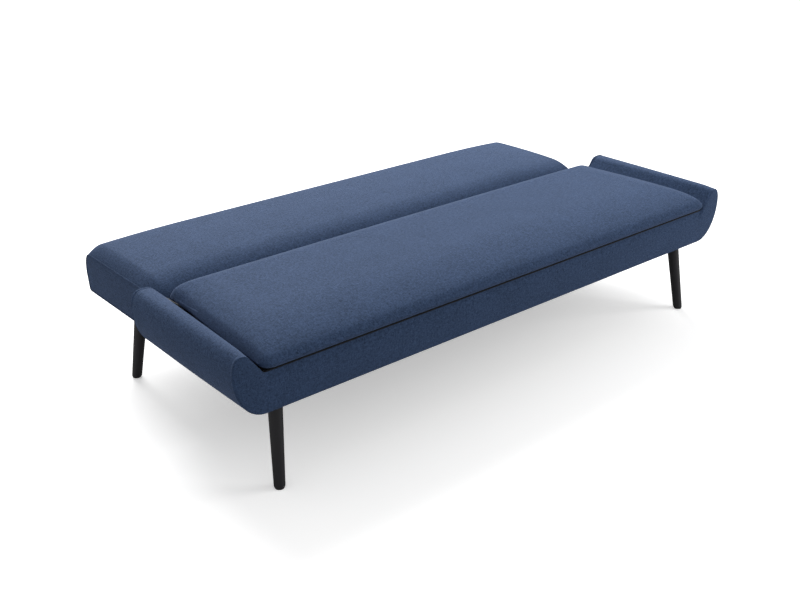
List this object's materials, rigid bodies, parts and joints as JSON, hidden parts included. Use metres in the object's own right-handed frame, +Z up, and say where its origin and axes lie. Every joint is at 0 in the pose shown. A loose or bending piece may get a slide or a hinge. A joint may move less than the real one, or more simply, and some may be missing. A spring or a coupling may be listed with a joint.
{
  "type": "futon sofa bed",
  "caption": "Click-clack sofa bed lying flat: a boat-shaped upholstered tub with a crowned seat cushion, a hinged padded backrest and splayed tapered wooden legs.",
  "frame": {"origin": "on the floor under the middle of the flat bed's box", "axes": "+X along the bed's length, -Y towards the front of the seat, +Z up"},
  "size_m": [2.04, 1.0416, 0.443],
  "materials": {
    "navy_weave": "matte",
    "black_lining": "matte",
    "grey_felt": "matte",
    "foam": "matte",
    "plywood": "matte",
    "pine": "matte",
    "black_wood": "satin",
    "black_steel": "satin",
    "bright_steel": "satin",
    "black_rubber": "matte",
    "black_plastic": "matte"
  },
  "bodies": {
    "base": {"arm_cover_left": "navy_weave", "arm_cover_right": "navy_weave", "arm_liner_left": "plywood", "arm_liner_right": "plywood", "arm_rib_front_left": "plywood", "arm_rib_front_right": "plywood", "arm_rib_rear_left": "plywood", "arm_rib_rear_right": "plywood", "bottom_board": "plywood", "cross_ribs": "pine", "frame_bolts": "bright_steel", "front_cover_panel": "navy_weave", "front_rail": "plywood", "hinge_pins": "bright_steel", "hinge_seat_bolts": "bright_steel", "hinge_seat_plate_left": "black_steel", "hinge_seat_plate_right": "black_steel", "leg_front_left": "black_wood", "leg_front_right": "black_wood", "leg_glides": "black_rubber", "leg_hanger_bolts": "bright_steel", "leg_plate_screws": "bright_steel", "leg_plates": "black_steel", "leg_rear_left": "black_wood", "leg_rear_right": "black_wood", "pawl_pins": "bright_steel", "pawl_springs": "bright_steel", "rear_cover_panel": "navy_weave", "rear_cross_tube": "black_steel", "rear_rail": "plywood", "rubber_buffers": "black_rubber", "runner_left": "black_steel", "runner_right": "black_steel", "seat_cover": "navy_weave", "seat_felt": "grey_felt", "seat_foam": "foam", "seat_springs": "bright_steel", "side_board_left": "pine", "side_board_right": "pine", "spacer_batten_left": "pine", "spacer_batten_right": "pine", "spring_clips": "black_plastic", "tub_dust_cover": "black_lining"},
    "backrest": {"back_cover": "navy_weave", "back_dust_cover": "black_lining", "back_end_panel_left": "navy_weave", "back_end_panel_right": "navy_weave", "back_foam": "foam", "back_rail_inner": "pine", "back_rail_middle": "pine", "back_rail_outer": "pine", "back_side_rail_left": "pine", "back_side_rail_right": "pine", "back_straps": "black_lining", "hinge_back_arm_left": "black_steel", "hinge_back_arm_right": "black_steel", "hinge_back_bolts": "bright_steel"},
    "pawl_left": {"hinge_pawl_left": "black_steel"},
    "pawl_right": {"hinge_pawl_right": "black_steel"}
  },
  "joints": [
    {"name": "backrest_fold", "type": "hinge", "parent": "base", "child": "backrest", "pos_m": [0, -0.047, 0.385], "axis": [1, 0, 0], "range_deg": [0, 76]},
    {"name": "pawl_left_swing", "type": "hinge", "parent": "base", "child": "pawl_left", "pos_m": [-0.9066, -0.081, 0.339], "axis": [1, 0, 0], "range_deg": [0, 8]},
    {"name": "pawl_right_swing", "type": "hinge", "parent": "base", "child": "pawl_right", "pos_m": [0.9066, -0.081, 0.339], "axis": [1, 0, 0], "range_deg": [0, 8]}
  ]
}
